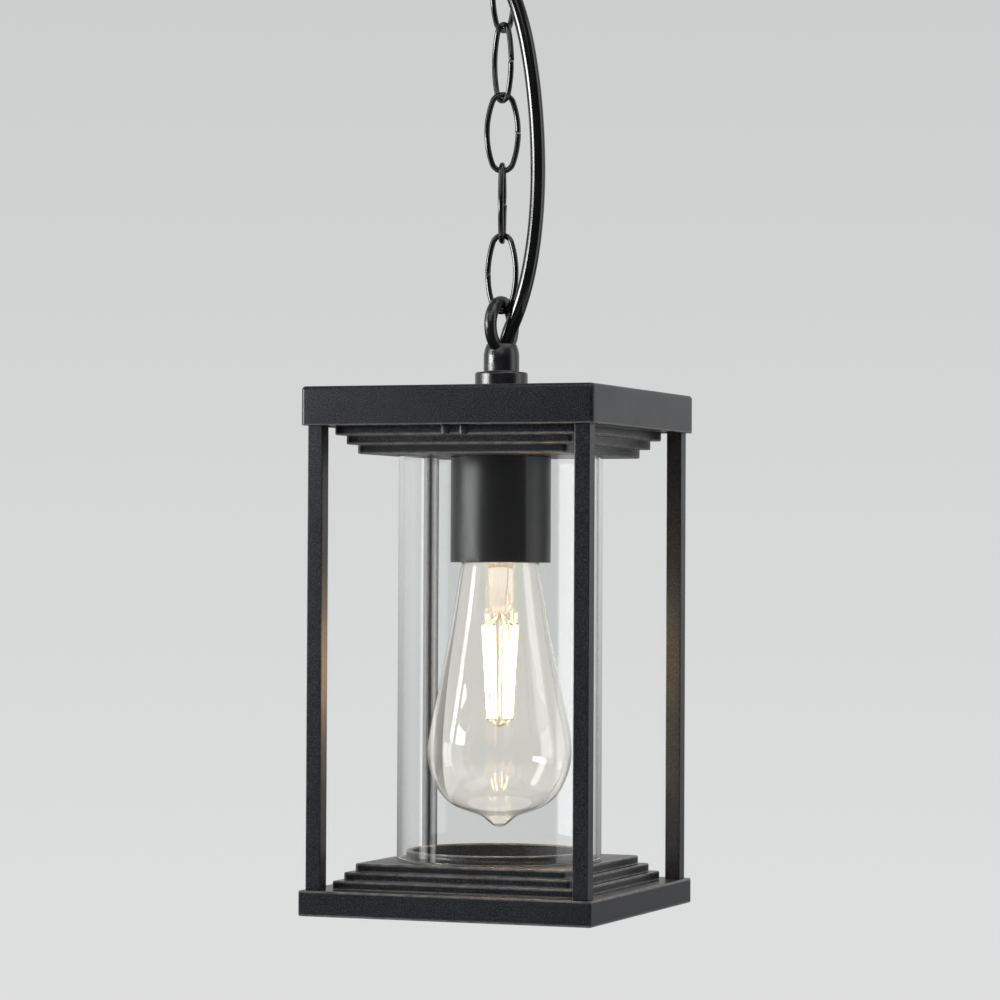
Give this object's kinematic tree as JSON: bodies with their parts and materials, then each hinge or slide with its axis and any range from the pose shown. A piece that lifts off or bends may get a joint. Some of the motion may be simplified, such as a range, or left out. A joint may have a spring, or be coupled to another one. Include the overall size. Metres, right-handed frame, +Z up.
{
  "type": "hanging lantern",
  "caption": "Square open-frame hanging lantern with a glass cylinder and a filament bulb, on a short chain with its cable and ceiling rose.",
  "frame": {"origin": "centre of the two ceiling screws, in the ceiling plane", "axes": "+Z up, into the ceiling; the lantern hangs down -Z on the plumb line; its four faces look along X and Y"},
  "size_m": [0.135, 0.135, 0.4852],
  "materials": {
    "black_powder_coat": "die-cast and extruded aluminium under fine-textured matt black powder coat",
    "black_casting": "cast metal, semi-gloss black lacquer",
    "black_chain": "formed wire, semi-gloss black lacquer",
    "black_cable": "smooth glossy black sheath",
    "zinc_steel": "zinc-plated steel",
    "brass": "plain brass",
    "black_rubber": "moulded rubber",
    "clear_silicone": "translucent silicone",
    "white_plastic": "moulded polyamide",
    "ceramic": "glazed porcelain",
    "core_insulation": "silicone-insulated core",
    "earth_insulation": "green and yellow insulation",
    "lantern_glass": "clear drawn glass",
    "bulb_glass": "thin clear blown glass, faint amber",
    "nickel": "nickel-plated",
    "black_glaze": "black vitrite",
    "led_filament": "phosphor-coated LED filament"
  },
  "bodies": {
    "ceiling_fitting": {"ceiling_rose": "black_powder_coat", "ceiling_bracket": "zinc_steel", "ceiling_nipple": "zinc_steel", "ceiling_nuts": "zinc_steel", "ceiling_loop": "black_casting", "rose_gasket": "black_rubber", "terminal_block": "white_plastic", "terminal_sleeves": "brass", "terminal_screws": "zinc_steel", "ceiling_cores": "core_insulation", "ceiling_earth_screw": "zinc_steel", "cable_1": "black_cable"},
    "link_1": {"chain_link_1": "black_chain", "cable_2": "black_cable"},
    "link_2": {"chain_link_2": "black_chain", "cable_3": "black_cable"},
    "link_3": {"chain_link_3": "black_chain", "cable_4": "black_cable"},
    "link_4": {"chain_link_4": "black_chain", "cable_5": "black_cable"},
    "link_5": {"chain_link_5": "black_chain"},
    "lantern": {"lantern_loop": "black_casting", "cap_gasket": "black_rubber", "lantern_nipple": "zinc_steel", "lantern_nuts": "zinc_steel", "roof_cap": "black_powder_coat", "top_plate": "black_powder_coat", "top_post_screws": "zinc_steel", "base_plate": "black_powder_coat", "base_post_screws": "zinc_steel", "glass_cylinder": "lantern_glass", "glass_seal_lower": "clear_silicone", "glass_seal_upper": "clear_silicone", "lampholder_cup": "black_powder_coat", "lampholder_body": "ceramic", "lampholder_screws": "zinc_steel", "lampholder_shell": "brass", "lampholder_contact": "brass", "holder_terminals": "brass", "lantern_cores": "core_insulation", "earth_core": "earth_insulation", "earth_screw": "zinc_steel", "post_rear_left": "black_powder_coat", "post_rear_right": "black_powder_coat", "post_front_left": "black_powder_coat", "post_front_right": "black_powder_coat", "cable_6": "black_cable"},
    "bulb": {"bulb_glass": "bulb_glass", "bulb_cap": "nickel", "bulb_insulator": "black_glaze", "bulb_contact": "nickel", "bulb_stem": "bulb_glass", "bulb_filaments": "led_filament", "bulb_supports": "nickel"}
  },
  "joints": [
    {"name": "swing_1", "type": "hinge", "parent": "ceiling_fitting", "child": "link_1", "pos_m": [0, 0, -0.0646], "axis": [1, 0, 0], "range_deg": [-12, 12], "deforming": ["cable_1"]},
    {"name": "swing_2", "type": "hinge", "parent": "link_1", "child": "link_2", "pos_m": [0, 0, -0.0944], "axis": [0.3746, 0.9272, 0], "range_deg": [-12, 12], "deforming": ["cable_2"]},
    {"name": "swing_3", "type": "hinge", "parent": "link_2", "child": "link_3", "pos_m": [0, 0, -0.12575], "axis": [0.7986, -0.6018, 0], "range_deg": [-12, 12], "deforming": ["cable_3"]},
    {"name": "swing_4", "type": "hinge", "parent": "link_3", "child": "link_4", "pos_m": [0, 0, -0.1571], "axis": [0.8988, 0.4384, 0], "range_deg": [-12, 12], "deforming": ["cable_4"]},
    {"name": "swing_5", "type": "hinge", "parent": "link_4", "child": "link_5", "pos_m": [0, 0, -0.18845], "axis": [-0.2588, 0.9659, 0], "range_deg": [-12, 12], "deforming": ["cable_5"]},
    {"name": "swing_6", "type": "hinge", "parent": "link_5", "child": "lantern", "pos_m": [0, 0, -0.2198], "axis": [0.9945, -0.1045, 0], "range_deg": [-12, 12], "deforming": ["cable_6"]},
    {"name": "bulb_removal", "type": "slide", "parent": "lantern", "child": "bulb", "axis": [0, 0, -1], "range_m": [0, 0.19]}
  ]
}
